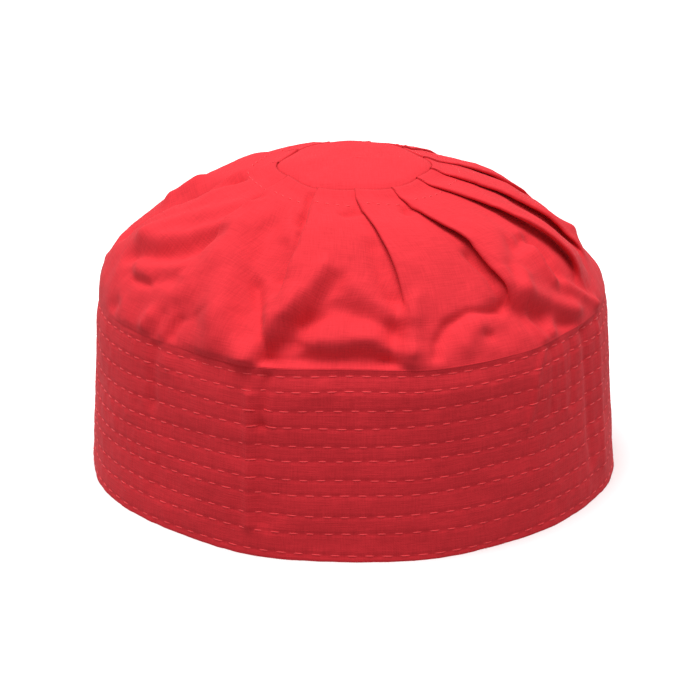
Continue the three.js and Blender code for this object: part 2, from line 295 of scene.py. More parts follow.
# %% Steps
# name, path, wide in millimetres, height in millimetres
STEPS = [
    ("broad shade by the upright crease", [(-28, 0.84), (-30, 0.72), (-32, 0.55), (-36, 0.42)], 6.0, 3.0),
    ("left valley", [(-70, 0.67), (-64, 0.63), (-57, 0.55), (-50, 0.45)], 3.0, 1.7),
    ("left pocket", [(-66, 0.76), (-59, 0.75), (-51, 0.70)], 2.6, 0.9),
    ("notch in the left pocket", [(-63, 0.785), (-58, 0.775)], 1.6, 0.9),
    ("beside the second pleat", [(-45, 0.84), (-41, 0.72), (-39, 0.62)], 4.4, 0.9),
    ("fold at the left seam", [(-45, 0.98), (-44, 0.90)], 1.8, 0.9),
    ("slanting valley", [(-20, 0.99), (-17, 0.88), (-13.5, 0.77)], 4.4, 3.2),
    ("upper end of the slanting valley", [(-13, 0.76), (-10, 0.67), (-7, 0.59)], 2.6, 1.9),
    ("level valley", [(-9, 0.92), (-4, 0.925), (0, 0.915), (4, 0.915), (9, 0.95)], 3.4, 2.3),
    ("shade in the middle", [(0, 0.69), (5, 0.74), (9, 0.79)], 3.8, 1.5),
    ("below the fourth pleat", [(12, 0.72), (11, 0.83), (10, 0.90), (9, 0.97)], 2.8, 1.7),
    ("after the fifth pleat", [(52, 0.58), (47, 0.65), (44, 0.73)], 2.6, 1.4),
    ("dark fold at the right", [(40, 0.76), (44, 0.81), (50, 0.87), (57, 0.95)], 3.6, 2.3),
    ("shoulder at the right side", [(92, 0.74), (104, 0.78)], 2.6, 1.0),
    ("shoulder at the back right", [(118, 0.90), (132, 0.93)], 2.4, 1.1),
    ("shoulder at the back", [(160, 0.84), (176, 0.90), (184, 0.94)], 2.6, 1.3),
    ("shoulder at the back left", [(204, 0.72), (214, 0.80), (228, 0.90)], 2.6, 1.2),
    ("shoulder at the left side", [(248, 0.90), (262, 0.94)], 2.4, 1.0),
]

print(len(STEPS), "steps on the crown")

# %% [markdown]
# ## The form of the crown
#
# The strokes, the steps and a little smooth noise add up to one height over the plain crown. At the front
# the cloth also sags a little over the shoulder and leans in where it meets the band. A simulation of cloth
# would settle into folds of its own, so the folds are placed instead.

# %% Form of the crown
SAG = 2.9
LEAN = 1.3
SETTLE = 1.1
# cells round, cells down, seed, height in millimetres
CROWN_UNEVEN = [
    (30, 6, 11, 0.40),
    (84, 13, 12, 0.28),
]
CRUMPLE_CELLS = (200, 30)
CRUMPLE_SEED = 13
CRUMPLE = 0.08


def along_path(angle, down, path):
    """Distance from a path, and how far to its right hand, in millimetres."""
    shape = np.broadcast(angle, down).shape
    nearest = np.full(shape, 1e9)
    aside = np.zeros(shape)
    for start, end in zip(path[:-1], path[1:]):
        radius = plain_radius(start[0], (start[1] + end[1]) / 2)
        scale = math.radians(1.0) * radius
        x = turn(start[0], angle) * scale
        y = (down - start[1]) * SLOPE
        along_x = turn(start[0], end[0]) * scale
        along_y = (end[1] - start[1]) * SLOPE
        length = math.hypot(along_x, along_y)
        share = np.clip((x * along_x + y * along_y) / length ** 2, 0.0, 1.0)
        gap = np.hypot(x - share * along_x, y - share * along_y)
        here = (along_x * y - along_y * x) / length
        aside = np.where(gap < nearest, here, aside)
        nearest = np.minimum(nearest, gap)
    return nearest, aside


def seam_lean(angle):
    """How far the cloth leans in where the crown meets the band."""
    return LEAN * (0.4 + 0.6 * np.abs(np.cos(np.radians(angle))))


def crown_form(angle, down):
    form = np.zeros(np.broadcast(angle, down).shape)
    for name, path, wide, push in STROKES:
        gap, aside = along_path(angle, down, path)
        form += push * np.exp(-(gap / wide) ** 2)
    for name, path, wide, height in STEPS:
        gap, aside = along_path(angle, down, path)
        across = np.clip(aside / wide, -4, 4)
        beyond = np.maximum(gap - np.abs(aside), 0.0) / wide
        form -= height * across * np.exp((1 - across ** 2) / 2 - beyond ** 2)
    away = smooth(down, 0.12, 0.45)
    for cells_around, cells_down, seed, height in CROWN_UNEVEN:
        form += height * soft_noise(angle / 360, down, cells_around, cells_down, seed) * away
    form += CRUMPLE * soft_noise(angle / 360, down, *CRUMPLE_CELLS, CRUMPLE_SEED) * smooth(down, 0.0, 0.2)
    settle = SETTLE * smooth(down, 0.0, 0.08) * (1 - smooth(down, 0.8, 1.0))
    facing = np.abs(np.cos(np.radians(angle)))
    sag = SAG * facing * smooth(down, 0.42, 0.84) * (1 - smooth(down, 0.88, 1.0))
    lean = seam_lean(angle) * smooth(down, 0.9, 1.0)
    form = form - settle
    dent_left = 1.0 - smooth(down, 0.965, 1.0)
    puff_left = 1.0 - 0.7 * smooth(down, 0.975, 1.0)
    return form * np.where(form > 0, puff_left, dent_left) - sag - lean


def crown_point(angle, down, out):
    """A place on the crown's cloth. out is measured square to the cloth."""
    angle, down = np.broadcast_arrays(np.asarray(angle, float), np.asarray(down, float))
    share = side_of(angle)
    left = along_curve(LEFT_CURVE, down)
    right = along_curve(RIGHT_CURVE, down)
    radius, z, tangent_r, tangent_z = (mix(a, b, share) for a, b in zip(left, right))
    length = np.hypot(tangent_r, tangent_z)
    tangent_r = tangent_r / length
    tangent_z = tangent_z / length
    stand = out + crown_form(angle, down)
    corner = TIP_CORNER * np.cos(np.radians(6 * (angle - 32))) * (1 - smooth(down, 0.0, 0.3))
    wave = band_wave(angle, BAND_HEIGHT) * smooth(down, 0.5, 1.0)
    place = on_circle(angle, radius + corner + wave - tangent_z * stand, z + tangent_r * stand)
    lean = math.tan(math.radians(TIP_TILT)) * (1 - smooth(down, 0.0, 0.5))
    place[..., 2] += lean * place[..., 1]
    return place


form_shown = crown_form(np.arange(360.0)[:, None], np.linspace(0.0, 1.0, 101)[None, :])
lowest = round(float(form_shown.min()), 1)
highest = round(float(form_shown.max()), 1)
print("form of the crown from", lowest, "to", highest, "mm")


# %% [markdown]
# ## Meshes from wrapped grids
#
# Every piece of cloth starts as a flat grid, as cloth does, and is wrapped into place: each point of the
# grid keeps its own place round and along the piece, and its texture coordinates are the real length of
# cloth in metres, so that the weave is the same everywhere.

# %% Wrapped grid
MERGE = 1e-6


def wrap_grid(name, columns, rows, places, cloth_map):
    """A grid of columns by rows faces. places has shape (rows + 1, columns + 1, 3), in millimetres.
    cloth_map gives the texture coordinates of the corners of each face, shape (rows, columns, 2, 2, 2)."""
    bm = bmesh.new()
    bmesh.ops.create_grid(bm, x_segments=columns, y_segments=rows, size=1.0)
    mesh = bpy.data.meshes.new(name)
    bm.to_mesh(mesh)
    flat = np.empty(len(mesh.vertices) * 3)
    mesh.vertices.foreach_get("co", flat)
    flat = flat.reshape(-1, 3)
    column = np.rint((flat[:, 0] + 1) / 2 * columns).astype(int)
    row = np.rint((flat[:, 1] + 1) / 2 * rows).astype(int)
    mesh.vertices.foreach_set("co", (places[row, column] / 1000.0).ravel())
    corner = np.empty(len(mesh.loops), dtype=np.int32)
    mesh.loops.foreach_get("vertex_index", corner)
    corner = corner.reshape(-1, 4)
    low_row = row[corner].min(axis=1, keepdims=True)
    low_column = column[corner].min(axis=1, keepdims=True)
    cloth = cloth_map[low_row, low_column, row[corner] - low_row, column[corner] - low_column]
    layer = mesh.uv_layers.new(name="cloth")
    layer.data.foreach_set("uv", cloth.ravel())
    mesh.polygons.foreach_set("use_smooth", np.ones(len(mesh.polygons), dtype=bool))
    bm.clear()
    bm.from_mesh(mesh)
    bmesh.ops.remove_doubles(bm, verts=bm.verts, dist=MERGE)
    bmesh.ops.recalc_face_normals(bm, faces=bm.faces)
    bm.to_mesh(mesh)
    bm.free()
    obj = bpy.data.objects.new(name, mesh)
    bpy.context.scene.collection.objects.link(obj)
    print(name, len(mesh.vertices), "points", len(mesh.polygons), "faces")
    return obj


def plain_map(along, up):
    """Texture coordinates from one value for each grid point, in millimetres."""
    both = np.stack(np.broadcast_arrays(along, up), axis=-1) / 1000.0
    rows, columns = both.shape[0] - 1, both.shape[1] - 1
    corners = np.empty((rows, columns, 2, 2, 2))
    for row in (0, 1):
        for column in (0, 1):
            corners[:, :, row, column] = both[row:row + rows, column:column + columns]
    return corners


def normals_out(obj, centre_height):
    """Turn the faces outwards if they came out facing the middle of the cap."""
    mesh = obj.data
    score = 0.0
    for face in mesh.polygons:
        away = face.center - Vector((0.0, 0.0, centre_height))
        score += away.normalized().dot(face.normal) * face.area
    if score < 0:
        mesh.flip_normals()


def thicken(obj, wall):
    solidify = obj.modifiers.new("wall", "SOLIDIFY")
    solidify.thickness = wall / 1000.0
    solidify.offset = -1.0
    solidify.use_even_offset = False
    solidify.use_rim = True


print("cloth of the crown and tip", CLOTH, "mm thick, layers of the band", BAND_WALL, "mm")

# %% [markdown]
# ## Pleats
#
# A knife pleat is one cloth folded back on itself: the panel runs under its neighbour, turns at the root,
# comes back and turns again at the fold, where the next panel starts. Twelve of them take up the fullness of
# the crown at the tip. Further down, the folds open and the cloth is flat again.

# %% Pleat tables
STATIONS = [0.0, 0.15, 0.30, 0.45, 0.60, 0.80]
# angles of the fold at the stations down the crown
FOLDS = [
    (-97, -90, -85, -85, -86, -86),
    (-64, -52, -48, -48, -48, -48),
    (-27, -22, -18.5, -17.5, -18.5, -19),
    (0, 4, 8, 10.5, 12, 12.5),
    (28, 29, 32, 38, 39, 41),
    (57, 60, 63, 65, 69, 70),
    (83, 82, 81, 83, 84, 84),
    (110, 109, 109, 110, 112, 113),
    (139, 140, 142, 144, 145, 146),
    (169, 171, 173, 175, 177, 178),
    (199, 201, 203, 205, 207, 208),
    (230, 232, 234, 236, 238, 239),
]
# stand is how far the fold stands off in millimetres. opens, fade and end are places down the crown: where
# it is full, where it starts to open out, and where it has gone
PLEATS = [
    (2.4, 0.16, 0.50, 0.84),
    (1.6, 0.16, 0.25, 0.80),
    (2.8, 0.12, 0.52, 0.76),
    (1.9, 0.12, 0.52, 0.88),
    (2.8, 0.14, 0.62, 0.88),
    (3.3, 0.14, 0.70, 0.94),
    (2.0, 0.16, 0.62, 0.88),
    (1.3, 0.40, 0.45, 0.74),
    (1.1, 0.60, 0.61, 0.80),
    (1.0, 0.60, 0.61, 0.78),
    (1.1, 0.60, 0.61, 0.80),
    (1.2, 0.45, 0.50, 0.74),
]
LAP = 4.5
NOSE = 0.62
ROOT = 0.9
PANEL_PUFF = 1.0
PANEL_STEPS = 26
PER_PLEAT = 40
print(len(PLEATS), "pleats, each lapped", LAP, "mm under its neighbour")

# %% [markdown]
# ## One pleat from fold to fold
#
# The section follows the cloth through one whole pleat. A crease drawn on a single surface would shade nearly
# like it, but only real layers lap, stand off and throw a shadow. Each row down the crown gets its own
# section.

# %% Pleat section

def fold_angle(index, down):
    row = FOLDS[index % len(FOLDS)]
    angle = np.zeros(np.shape(down))
    for shift in (-0.06, -0.03, 0.0, 0.03, 0.06):
        angle = angle + np.interp(np.clip(down + shift, 0, 1), STATIONS, row) / 5
    return angle + 360.0 * (index // len(FOLDS))


def fold_share(index, down):
    """How strongly a pleat is folded: pressed flatter at the tip's seam, then full, then open."""
    stand, opens, fade, end = PLEATS[index % len(PLEATS)]
    return mix(0.3, 1.0, smooth(down, 0.0, opens)) * (1 - smooth(down, fade, end))


def fold_stand(index, down):
    stand = PLEATS[index % len(PLEATS)][0]
    return mix(0.35 * ROOT, stand, smooth(down, 0.14, 0.60))


def panel_out(share, down, index):
    """Height of a panel over the plain cloth, from its own fold at 0 to the next at 1."""
    top = fold_stand(index, down) + 2 * NOSE
    return top * (1 - share) ** 1.5 + PANEL_PUFF * smooth(down, 0.05, 0.45) * np.sin(math.pi * share)


def pleat_section(index, down):
    """The cloth of one pleat in millimetres round (from its fold) and out, one row for each place down."""
    radius = plain_radius(fold_angle(index, down), down)
    width = (fold_angle(index + 1, down) - fold_angle(index, down)) * np.radians(1.0) * radius
    stand = fold_stand(index, down)
    after = fold_stand(index + 1, down)
    lap = LAP * np.ones_like(width)
    zero = np.zeros_like(width)
    x = [-NOSE + zero, -0.7 * NOSE + zero, zero]
    out = [stand + NOSE, stand + 1.7 * NOSE, stand + 2 * NOSE]
    for step in range(1, PANEL_STEPS + 1):
        share = step / PANEL_STEPS
        x.append(width * share)
        out.append(panel_out(share, down, index))
    for step in (1, 2, 3):
        x.append(width + lap * step / 3)
        out.append(zero)
    x.append(width + lap + ROOT / 2)
    out.append(zero + ROOT / 2)
    for step in range(0, 6):
        share = step / 5
        x.append(width + lap * (1 - share))
        out.append(mix(np.minimum(ROOT, after), after, share ** 1.6))
    x += [width - 0.7 * NOSE, width - NOSE]
    out += [after + 0.3 * NOSE, after + NOSE]
    return np.stack(x, axis=1), np.stack(out, axis=1), width, radius


shown, shown_out, shown_width, shown_radius = pleat_section(3, np.array([0.3]))
print("a panel is", round(float(shown_width[0]), 1), "mm wide at", round(float(shown_radius[0]), 1), "mm out")

# %% [markdown]
# ## Crown
#
# All the sections are joined round the cap into one grid, and the grid is laid over the crown's form. On a
# real cap this is one strip of cotton, pleated at one edge. Its upper edge turns down and in under the tip,
# and its lower edge turns in over the band.

# %% Crown places
SLOPE_ROWS = 84
# the row whose section spreads the columns where a pleat has opened, and the column where the weave lines up
SECTION_ROW = 40
WEAVE_COLUMN = 15
PLEAT_CLOTH = 60.0
# the cloth's last edge reaches in to this share of its radius, under the tip
SEAM_ALLOWANCE = 0.90
downs = np.concatenate([np.zeros(3), np.linspace(0.0, 1.0, SLOPE_ROWS + 1)[:-1], [0.9985, 1.0], np.ones(3)])
sinks = np.concatenate([[2.8, 1.2, 0.4], np.zeros(SLOPE_ROWS + 2), [0.08, 0.7, 1.8]])
crown_rows = len(downs) - 1
crown_columns = PER_PLEAT * len(PLEATS)
crown_angle = np.empty((crown_rows + 1, crown_columns + 1))
crown_out = np.empty_like(crown_angle)
crown_cloth_map = np.empty((crown_rows, crown_columns, 2, 2, 2))
cloth_down = downs * SLOPE - np.where(downs > 0.5, -sinks, sinks)
for pleat in range(len(PLEATS)):
    x, out, width, radius = pleat_section(pleat, downs)
    section_steps = np.cumsum(np.hypot(np.diff(x[SECTION_ROW]), np.diff(out[SECTION_ROW])))
    folded_length = np.concatenate([[0.0], section_steps])
    flat = folded_length / folded_length[-1]
    start = fold_share(pleat, downs)[:, None]
    finish = fold_share(pleat + 1, downs)[:, None]
    place = np.arange(PER_PLEAT + 1) / PER_PLEAT
    folded = mix(start, finish, smooth(place, 0.45, 0.75)[None, :])
    x = mix(flat[None, :] * width[:, None], x, folded)
    out = out * folded
    first = pleat * PER_PLEAT
    columns = slice(first, first + PER_PLEAT + 1)
    crown_angle[:, columns] = fold_angle(pleat, downs)[:, None] + np.degrees(x / radius[:, None])
    crown_out[:, columns] = out
    step_x = np.diff(x, axis=1, prepend=x[:, :1])
    step_out = np.diff(out, axis=1, prepend=out[:, :1])
    cloth = np.cumsum(np.hypot(step_x, step_out), axis=1)
    cloth = cloth - cloth[:, WEAVE_COLUMN:WEAVE_COLUMN + 1]
    corners = plain_map(cloth + PLEAT_CLOTH * pleat, np.broadcast_to(cloth_down[:, None], cloth.shape))
    crown_cloth_map[:, first:first + PER_PLEAT] = corners
crown_angle[:, -1] = crown_angle[:, 0] + 360.0
crown_out[:, -1] = crown_out[:, 0]
crown_places = crown_point(crown_angle, np.broadcast_to(downs[:, None], crown_angle.shape),
                           crown_out - sinks[:, None])
crown_places[0, :, :2] *= SEAM_ALLOWANCE
crown_places[:, -1] = crown_places[:, 0]
crown = wrap_grid("crown_cloth", crown_columns, crown_rows, crown_places, crown_cloth_map)
normals_out(crown, 0.03)
thicken(crown, CLOTH)

# %% [markdown]
# ## Tip
#
# The tip is one round of the same cotton, sewn to the pleats with its edge turned down, so that only a
# thin line of shade shows between them. The pleats draw it out to soft corners, and to a small point at the
# back. It is a grid wrapped into a disc, so that its weave stays square.

# %% Tip places
# share of the radius, drop in millimetres
TIP_TURN = [(1.0, 0.0), (1.004, 0.35), (1.0, 0.9), (0.98, 2.0)]
TIP_RINGS = 26
TIP_GAP = 0.38
TIP_OVER_SEAM = 0.5
EDGE_EASE = 0.55
TIP_UNEVEN = 0.25
# the small point at the back: its angle, how wide it is in degrees and how high in millimetres
BACK_POINT_AT = 184.0
BACK_POINT_WIDE = 16.0
BACK_POINT_HIGH = 1.0
tip_shares = np.concatenate([np.linspace(0.0, 0.97, TIP_RINGS), [row[0] for row in TIP_TURN]])
tip_drops = np.concatenate([np.zeros(TIP_RINGS), [row[1] for row in TIP_TURN]])
tip_columns = 168
tip_angle = np.linspace(0.0, 360.0, tip_columns + 1)
edge = TIP_RADIUS + TIP_CORNER * np.cos(np.radians(6 * (tip_angle - 32))) - TIP_GAP
tip_radius = tip_shares[:, None] * edge[None, :]
tip_dome = TIP_DOME * (1 - np.minimum(tip_shares, 1.0) ** 2)
tip_height = BAND_HEIGHT + CROWN_RISE + TIP_OVER_SEAM + tip_dome
ease = EDGE_EASE * smooth(tip_shares, 0.9, 1.0)
tip_z = (tip_height - ease - tip_drops)[:, None] + np.zeros((1, tip_columns + 1))
tip_noise = soft_noise(tip_angle[None, :] / 360, tip_shares[:, None], 9, 4, 31)
tip_z += TIP_UNEVEN * tip_noise * (1 - tip_shares[:, None] ** 3)
tip_places = on_circle(np.broadcast_to(tip_angle, tip_radius.shape), tip_radius, tip_z)
tip_places[..., 2] += math.tan(math.radians(TIP_TILT)) * tip_places[..., 1]
back_point = np.exp(-(turn(BACK_POINT_AT, tip_angle) / BACK_POINT_WIDE) ** 2)
tip_places[..., 2] += BACK_POINT_HIGH * back_point[None, :] * np.minimum(tip_shares, 1.0)[:, None] ** 3
tip_places[:, -1] = tip_places[:, 0]
tip_places[0] = tip_places[0, 0]
tip = wrap_grid("tip_cloth", tip_columns, len(tip_shares) - 1, tip_places,
                plain_map(tip_places[..., 0], tip_places[..., 1]))
normals_out(tip, 0.09)
thicken(tip, CLOTH)

# %% [markdown]
# ## Band
#
# The band is several layers of cotton stitched together, so each row of stitches draws a shallow channel
# and the cloth stands up softly between the rows, with small upright puckers. The channels are real hollows
# and not a drawn line, because the light crosses them at a low angle.

# %% Rows of stitches
# height of each row over the hem, and how much of the left-hand dip it takes
ROWS = [(60.6, 0.2), (55.9, 0.6), (49.8, 0.8), (44.2, 1.0), (38.2, 1.0), (33.2, 1.0), (27.0, 0.9),
        (21.9, 0.7), (15.0, 0.5), (9.2, 0.3), (2.1, 0.0)]
# angle, how far the rows dip there in millimetres
ROW_DIP = [(-180, 0.0), (-110, -2.0), (-75, -3.6), (-50, -1.9), (-29, -0.5), (0, 0.0), (25, 1.0), (52, 0.4),
           (75, -0.6), (110, 0.0), (180, 0.0)]
STITCHES = 102
STITCH_SHARE = 0.80
# depth of a channel, what the needle adds to it, and how wide it is
GROOVE = 0.16
NEEDLE = 0.14
CHANNEL = 0.6
# cells round, cells up, seed, height in millimetres
BAND_UNEVEN = [
    (40, 9, 21, 0.25),
    (150, 11, 22, 0.15),
    (280, 11, 23, 0.07),
]


def row_height(row, angle):
    at = [entry[0] for entry in ROW_DIP]
    value = [entry[1] for entry in ROW_DIP]
    around = turn(0.0, np.asarray(angle, float))
    dip = sum(np.interp(turn(0.0, around + shift), at, value) for shift in (-8, -4, 0, 4, 8)) / 5
    wander = 0.3 * soft_noise(np.asarray(angle, float) / 360, 0.0, 26, 1, 50 + row)
    return ROWS[row][0] + ROWS[row][1] * dip + wander


stitch_phase = np.random.default_rng(5).uniform(0.0, 1.0, len(ROWS))

# name, path of angle and height, wide in millimetres, push in millimetres
BAND_STROKES = [
    ("corner left of the front", [(-21.5, 54), (-21.5, 10)], 1.7, 1.2),
    ("dark strip beside the corner", [(-18, 60), (-19, 44)], 1.5, -1.2),
    ("low strip beside the corner", [(-18.5, 44), (-18.5, 12)], 2.0, -0.8),
    ("upright dent at the left", [(-48, 62), (-48, 42)], 2.6, -0.8),
    ("small dent low at the front", [(-15, 24), (-15, 15)], 2.2, -0.5),
    ("curved crease", [(44, 61), (41, 55), (40, 46), (38, 38)], 1.6, 0.6),
    ("ripple", [(47, 60), (46, 40)], 1.4, -0.4),
    ("ripple", [(51, 61), (51, 38)], 1.5, 0.4),
    ("ripple", [(55, 60), (54, 38)], 1.5, -0.45),
    ("valley at the right", [(61, 61), (62, 14)], 3.0, -1.0),
    ("ridge at the right", [(69, 57), (69, 10)], 3.0, 0.7),
    ("dent at the right side", [(96, 58), (98, 20)], 4.5, -0.8),
    ("crease at the back right", [(133, 60), (136, 26)], 2.6, -0.7),
    ("corner at the back", [(170, 54), (171, 12)], 4.5, 0.7),
    ("dent at the back", [(196, 60), (194, 30)], 3.5, -0.8),
    ("crease at the back left", [(236, 58), (238, 22)], 2.8, -0.7),
    ("dent at the left side", [(272, 60), (271, 34)], 3.5, -0.7),
]


def band_form(angle, height):
    form = np.zeros(np.broadcast(angle, height).shape)
    for name, path, wide, push in BAND_STROKES:
        nearest = np.full(form.shape, 1e9)
        for start, end in zip(path[:-1], path[1:]):
            scale = math.radians(1.0) * MEAN_RADIUS
            x = turn(start[0], angle) * scale
            y = height - start[1]
            along_x = turn(start[0], end[0]) * scale
            along_y = end[1] - start[1]
            share = np.clip((x * along_x + y * along_y) / (along_x ** 2 + along_y ** 2), 0.0, 1.0)
            nearest = np.minimum(nearest, (x - share * along_x) ** 2 + (y - share * along_y) ** 2)
        form += push * np.exp(-nearest / wide ** 2)
    return form


def row_channels(angle, height, side):
    """Channels drawn by the rows, deepest where the needle went through. side is 0 outside and 1 inside."""
    channel = np.zeros(np.broadcast(angle, height).shape)
    for row in range(len(ROWS)):
        gap = height - row_height(row, angle)
        phase = angle / 360 * STITCHES + stitch_phase[row] + 0.5 * side
        needle = 0.5 + 0.5 * np.cos(2 * math.pi * phase)
        channel -= (GROOVE + NEEDLE * needle) * np.exp(-(gap / CHANNEL) ** 2)
    return channel


def band_out(angle, height):
    """How far the outside of the band stands off its plain shape."""
    out = band_form(angle, height) + row_channels(angle, height, 0)
    for cells_around, cells_up, seed, rough in BAND_UNEVEN:
        out += rough * soft_noise(angle / 360, height / BAND_HEIGHT, cells_around, cells_up, seed)
    out = out * (1 - smooth(height, 60.9, 63.0))
    return out - seam_lean(angle) * smooth(height, 54.0, 63.0)


print(len(ROWS), "rows of", STITCHES, "stitches,", len(BAND_STROKES), "creases on the band")

# %% [markdown]
# ## One ring of cloth for the band
#
# One grid goes right round the section of the band: up the outside, over the top edge, down the inside and
# under the hem. The sewn layers could be separate sheets, but their faces never show, so one closed ring is
# lighter and can't cut into itself.

# %% Band places
OUT_ROWS = 104
IN_ROWS = 26
EDGE = 0.12
up_heights = np.linspace(EDGE, BAND_HEIGHT - EDGE, OUT_ROWS)
up_heights = np.insert(up_heights, OUT_ROWS - 1, BAND_HEIGHT - 2 * EDGE)
heights = np.concatenate([[0.0, 0.04], up_heights, [BAND_HEIGHT - 0.04, BAND_HEIGHT],
                          [BAND_HEIGHT, BAND_HEIGHT - EDGE],
                          np.linspace(BAND_HEIGHT - 1.5, 1.5, IN_ROWS + 1), [EDGE, 0.0, 0.0]])
insets = np.concatenate([[EDGE, 0.04], np.zeros(OUT_ROWS + 1), [0.04, EDGE],
                         [BAND_WALL - EDGE, BAND_WALL], np.full(IN_ROWS + 1, BAND_WALL),
                         [BAND_WALL, BAND_WALL - EDGE, EDGE]])
outside = np.concatenate([np.ones(OUT_ROWS + 5), np.zeros(IN_ROWS + 6)])
outside[-1] = 1.0
band_columns = 576
band_angle = np.linspace(0.0, 360.0, band_columns + 1)
angle_grid, height_grid = np.meshgrid(band_angle, heights)
is_out = outside[:, None] > 0.5
lift = np.where(is_out, band_out(angle_grid, height_grid),
                band_form(angle_grid, height_grid) * 0.8 - 0.7 * row_channels(angle_grid, height_grid, 1))
band_radii = band_radius(angle_grid, height_grid) - insets[:, None] + lift
band_places = on_circle(angle_grid, band_radii, height_grid)
band_places[:, -1] = band_places[:, 0]
climb = np.cumsum(np.hypot(np.diff(heights, prepend=heights[0]), np.diff(insets, prepend=insets[0])))
cloth_round = angle_grid * math.radians(1.0) * MEAN_RADIUS
cloth_up = np.broadcast_to(climb[:, None], angle_grid.shape)
band = wrap_grid("band_cloth", band_columns, len(heights) - 1, band_places, plain_map(cloth_round, cloth_up))
print("band outside rows", OUT_ROWS, "inside rows", IN_ROWS)

# %% [markdown]
# ## Stitches
#
# Each stitch is its own short piece of thread: it comes up through the cloth, lies in the channel and
# goes down again. A small sphere is drawn out to the length of a stitch and bent at both ends. A long thread
# swept in and out of the cloth would be truer, but nobody sees its hidden half.

# %% Stitch maker
THREAD = 0.19


def make_stitches(name, centres, alongs, outs, lengths, bury):
    """One mesh of stitches. centres, alongs and outs are arrays of vectors in millimetres."""
    bm = bmesh.new()
    bmesh.ops.create_uvsphere(bm, u_segments=6, v_segments=7, radius=1.0)
    for face in bm.faces:
        face.smooth = True
    single = bpy.data.meshes.new(name + "_single")
    bm.to_mesh(single)
    bm.free()
    obj = bpy.data.objects.new(name, single)
    bpy.context.scene.collection.objects.link(obj)
    repeat = obj.modifiers.new("repeat", "ARRAY")
    repeat.count = len(centres)
    repeat.use_relative_offset = False
    mesh = bpy.data.meshes.new_from_object(obj.evaluated_get(bpy.context.evaluated_depsgraph_get()))
    mesh.name = name
    obj.modifiers.clear()
    obj.data = mesh
    bpy.data.meshes.remove(single)
    count = len(mesh.vertices)
    unit = np.empty(count * 3)
    mesh.vertices.foreach_get("co", unit)
    unit = unit.reshape(len(centres), -1, 3)
    along = np.sign(unit[..., 2]) * np.abs(unit[..., 2]) ** 0.75
    side = np.cross(outs, alongs)
    half = np.asarray(lengths)[:, None] / 2
    dive = bury * np.clip(np.abs(along) - 0.35, 0.0, 1.0) ** 1.6 * 2.0
    thick = THREAD * (1.0 + 0.12 * np.cos(3 * along))
    places = (centres[:, None] + alongs[:, None] * (along * half)[..., None]
              + side[:, None] * (unit[..., 0] * thick * 1.05)[..., None]
              + outs[:, None] * (unit[..., 1] * thick * 0.9 - dive)[..., None])
    mesh.vertices.foreach_set("co", (places / 1000.0).reshape(-1))
    mesh.update()
    print(name, len(centres), "stitches", len(mesh.polygons), "faces")
    return obj


# %% [markdown]
# ## Stitches of the band
#
# A machine sews these rows, so the stitches are even, with only a little chance in their length and place.
# The inside has the lower thread's stitches, half a stitch further on.

# %% Band stitches
def unit_vectors(values):
    return values / np.linalg.norm(values, axis=-1, keepdims=True)


def band_surface(angle, height, side):
    radius = band_radius(angle, height)
    if side == 0:
        return on_circle(angle, radius + band_out(angle, height), height)
    lift = band_form(angle, height) * 0.8 - 0.7 * row_channels(angle, height, 1)
    return on_circle(angle, radius - BAND_WALL + lift, height)


def band_stitches(name, side):
    chance = np.random.default_rng(70 + side)
    centres, alongs, outs, lengths = [], [], [], []
    for row in range(len(ROWS)):
        index = np.arange(STITCHES)
        angle = (index + 0.5 - stitch_phase[row] - 0.5 * side) / STITCHES * 360
        angle = angle + chance.normal(0, 0.08, STITCHES)
        start = band_surface(angle - 0.8, row_height(row, angle - 0.8), side)
        finish = band_surface(angle + 0.8, row_height(row, angle + 0.8), side)
        middle = band_surface(angle, row_height(row, angle) + chance.normal(0, 0.05, STITCHES), side)
        along = unit_vectors(finish - start)
        sign = 1.0 if side == 0 else -1.0
        out = sign * on_circle(angle, np.ones(STITCHES), np.zeros(STITCHES))
        out = unit_vectors(out - along * np.sum(out * along, axis=-1, keepdims=True))
        radius = np.hypot(middle[:, 0], middle[:, 1])
        length = 2 * math.pi * radius / STITCHES * (STITCH_SHARE + chance.normal(0, 0.02, STITCHES))
        centres.append(middle + out * 0.03)
        alongs.append(along)
        outs.append(out)
        lengths.append(length)
    return make_stitches(name, np.concatenate(centres), np.concatenate(alongs), np.concatenate(outs),
                         np.concatenate(lengths), 0.55)


outer_stitches = band_stitches("band_stitches_outside", 0)
inner_stitches = band_stitches("band_stitches_inside", 1)

# %% [markdown]
# ## Stitches round the tip
#
# A ring of smaller stitches holds the turned edges of the pleats down beside the tip. They follow the panels
# and skip the folds, where a stitch would hang in the air.

# %% Stitches round the tip
RING_DOWN = 0.125
RING_STEP = 3.4


def crown_surface(angle, down):
    """The outside of the pleats at one angle."""
    angle = np.asarray(angle, float)
    best = np.zeros(angle.shape)
    for index in range(len(PLEATS)):
        start = fold_angle(index, np.full(angle.shape, down))
        width = fold_angle(index + 1, np.full(angle.shape, down)) - start
        share = turn(0.0, angle - start - width / 2) / width + 0.5
        inside = (share >= 0) & (share < 1)
        strength = mix(fold_share(index, np.full(angle.shape, down)),
                       fold_share(index + 1, np.full(angle.shape, down)), smooth(share, 0.5, 0.9))
        height = panel_out(np.clip(share, 0, 1), down, index) * strength
        best = np.where(inside, height, best)
    return crown_point(angle, np.full(angle.shape, down), best)


